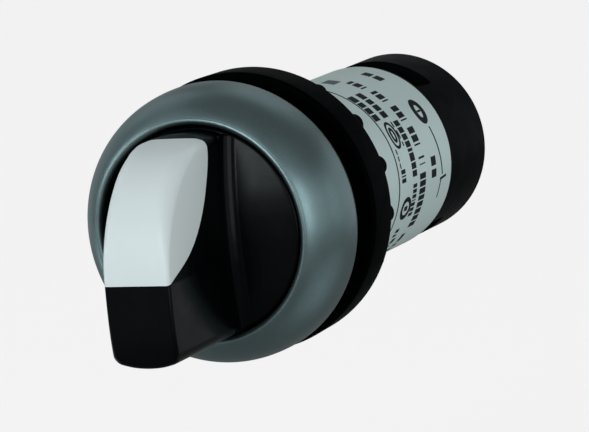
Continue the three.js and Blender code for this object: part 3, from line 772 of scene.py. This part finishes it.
# ------------------------------------------------------------------ terminals
for sx, sz, where in ((-1, 1, "top_left"), (1, 1, "top_right"), (-1, -1, "bottom_left"), (1, -1, "bottom_right")):
    x, z = 4.1 * sx, 4.1 * sz
    clamp = rounded_box("terminal_clamp_skin_" + where, x - 2.4, x + 2.4, 41.0, 43.9, z - 2.4, z + 2.4, 0.22, 3)
    holes = [turned("h", [(0, 40.0), (1.55, 40.0), (1.55, 45.0), (0, 45.0)], 40, (x, z))]
    for k in range(5):
        g = z - 1.8 + 0.9 * k
        holes.append(rounded_box("h", x - 3, x + 3, 40.6, 41.15, g - 0.15, g + 0.15, 0.0))
    clamp = boolean(clamp, holes)
    finish_piece(clamp, "clamp_" + where, M["zinc"], "zinc_steel", "terminal_clamp_" + where)
    grooves = []
    for k in range(8):
        s = 39.6 + 0.5 * k
        grooves += [(1.25, s), (1.05, s + 0.25)]
    screw = turned("terminal_screw_skin_" + where,
                   [(0, 38.95), (0.9, 38.95), (1.25, 39.3)] + grooves + [(1.25, 44.0), (1.4, 44.2, 0.05), (2.5, 44.2, 0.12), (2.5, 45.6, 0.45), (1.9, 46.15, 0.3), (0, 46.2)], 72, (x, z))
    screw = boolean(screw, [rounded_box("h", x - 1.75, x + 1.75, 45.15, 47, z - 0.34, z + 0.34, 0.08, 2),
                            rounded_box("h", x - 0.34, x + 0.34, 45.15, 47, z - 1.75, z + 1.75, 0.08, 2)], smooth=30)
    finish_piece(screw, "screw_" + where, M["zinc"], "zinc_steel", "terminal_screw_" + where)

# ------------------------------------------------------------------ the frame's own nodes that stay
KEPT = {
    "rotor_cam": "natural", "plunger": "natural", "plunger_guide": "dark", "shaft_seal": "rubber",
    "retaining_clip": "spring", "detent_spring": "spring", "nc_contact_spring": "spring", "no_contact_spring": "spring",
    "nc_contact_bridge": "brass", "no_contact_bridge": "brass", "nc_fixed_contact_left": "brass", "nc_fixed_contact_right": "brass",
    "no_fixed_contact_left": "brass", "no_fixed_contact_right": "brass",
}
for node, key_ in KEPT.items():
    ob = NODES[node]
    if not ob.material_slots:
        ob.data.materials.append(M[key_])
    for s in ob.material_slots:
        s.material = M[key_]

# ------------------------------------------------------------------ return spring, a coil close-wound at both ends
def coil(name, radius, wire, s0, s1, turns, per_turn=28, sides=12):
    verts, faces = [], []
    n = int(turns * per_turn)
    for i in range(n + 1):
        t = i / n
        a = 2 * math.pi * turns * t
        # close-wound for half a turn at each end, even pitch between
        e = 0.5 / turns
        u = 0.0 if t < e * 0.4 else 1.0 if t > 1 - e * 0.4 else (t - e * 0.4) / (1 - e * 0.8)
        s = s0 + wire + (s1 - s0 - 2 * wire) * u
        for k in range(sides):
            b = 2 * math.pi * k / sides
            r = radius + wire * math.cos(b)
            verts.append(P(r * math.sin(a), s + wire * math.sin(b), r * math.cos(a)))
    for i in range(n):
        for k in range(sides):
            m = (k + 1) % sides
            faces.append([i * sides + k, i * sides + m, (i + 1) * sides + m, (i + 1) * sides + k])
    faces.append([k for k in range(sides - 1, -1, -1)])
    faces.append([n * sides + k for k in range(sides)])
    return mesh_object(name, verts, faces, smooth=40)


spring = coil("return_spring_coil", 2.3, 0.3, 30.2, 37.1, 5)
finish_piece(spring, "housing", M["spring"], "spring_steel", "return_spring")
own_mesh(spring)

# ------------------------------------------------------------------ stage, light, camera
scene = bpy.context.scene
scene.view_settings.view_transform = "Standard"
scene.view_settings.look = "None"

floor_me = bpy.data.meshes.new("floor")
ring = [(4.0 * math.cos(t), 4.0 * math.sin(t), 0.0) for t in even_angles(96)]
floor_me.from_pydata(ring, [], [list(range(96))])
floor = bpy.data.objects.new("floor", floor_me)
scene.collection.objects.link(floor)
floor.location = (0, 0, -0.045)
fm = bpy.data.materials.new("floor_pale")
fm.use_nodes = True
nt = fm.node_tree
nt.nodes.clear()
out = nt.nodes.new("ShaderNodeOutputMaterial")
add = nt.nodes.new("ShaderNodeAddShader")
dif = nt.nodes.new("ShaderNodeBsdfDiffuse")
dif.inputs["Color"].default_value = (0.2, 0.2, 0.2, 1)
emi = nt.nodes.new("ShaderNodeEmission")
emi.inputs["Color"].default_value = (1.0, 0.985, 0.983, 1)
emi.inputs["Strength"].default_value = 0.813
nt.links.new(dif.outputs[0], add.inputs[0])
nt.links.new(emi.outputs[0], add.inputs[1])
nt.links.new(add.outputs[0], out.inputs[0])
floor_me.materials.append(fm)
floor.visible_diffuse = False
floor.visible_glossy = False
floor.visible_transmission = False
floor.visible_shadow = False

world = bpy.data.worlds.new("studio")
scene.world = world
world.use_nodes = True
nt = world.node_tree
nt.nodes.clear()
out = nt.nodes.new("ShaderNodeOutputWorld")
mix = nt.nodes.new("ShaderNodeMixShader")
lp = nt.nodes.new("ShaderNodeLightPath")
amb = nt.nodes.new("ShaderNodeBackground")
amb.inputs["Color"].default_value = (0.94, 0.98, 1.0, 1)
amb.inputs["Strength"].default_value = 0.20
bg = nt.nodes.new("ShaderNodeBackground")
bg.inputs["Color"].default_value = (0.888, 0.888, 0.884, 1)
bg.inputs["Strength"].default_value = 1.0
nt.links.new(lp.outputs["Is Camera Ray"], mix.inputs[0])
nt.links.new(amb.outputs[0], mix.inputs[1])
nt.links.new(bg.outputs[0], mix.inputs[2])
nt.links.new(mix.outputs[0], out.inputs[0])


# azimuth from the front towards +X, height and power of each softbox of the studio's ring
RIG = [(-28, -9, 0.15, 0.5), (-80, -30, 1.55, 0.6), (-55, 12, 1.9, 0.35), (-8, 14, 3.0, 0.4), (-5, -10, 0.15, 0.6), (20, 12, 0.2, 0.6), (48, 5, 2.15, 0.5),
       (80, 5, 0.8, 0.6), (115, 5, 0.6, 0.5), (150, 5, 0.6, 0.6), (-150, 5, 0.15, 0.6), (-115, 5, 0.3, 0.6), (-120, 42, 0.45, 0.6),
       (-60, 42, 0.45, 0.6), (0, 42, 0.33, 0.6), (60, 42, 0.1, 0.6), (180, 42, 0.5, 0.6), (88, -52, 0.35, 0.6), (120, -40, 0.3, 0.6)]


def softbox(name, direction, distance, w, h, power, colour=(1, 1, 1)):
    d = Vector(direction).normalized()
    light = bpy.data.lights.new(name, "AREA")
    light.shape, light.size, light.size_y, light.energy, light.color = "RECTANGLE", w, h, power, colour
    ob = bpy.data.objects.new(name, light)
    scene.collection.objects.link(ob)
    ob.location = Vector((0, 0.005, 0)) + d * distance
    ob.rotation_mode = "QUATERNION"
    ob.rotation_quaternion = d.to_track_quat("Z", "Y")
    ob.visible_camera = False
    return ob


for azimuth, height, power, size in RIG:
    a, e = math.radians(azimuth), math.radians(height)
    softbox("softbox_%d_%d" % (azimuth, height), (math.sin(a) * math.cos(e), -math.cos(a) * math.cos(e), math.sin(e)), 1.0, size, size, power, (0.90, 1.0, 1.05))

look = Vector((-0.4117, 0.8973, -0.15924)).normalized()
up = Vector((0.02205, 0.18449, 0.98259))
right = look.cross(up).normalized()
up = right.cross(look)
cam_data = bpy.data.cameras.new("camera")
cam = bpy.data.objects.new("camera", cam_data)
scene.collection.objects.link(cam)
cam_data.sensor_width = 36.0
cam_data.lens = 275.6
cam_data.clip_start, cam_data.clip_end = 0.01, 20.0
cam.rotation_mode = "QUATERNION"
cam.matrix_world = Matrix(((right.x, up.x, -look.x, 0.20119), (right.y, up.y, -look.y, -0.42289), (right.z, up.z, -look.z, 0.07509), (0, 0, 0, 1)))
scene.camera = cam
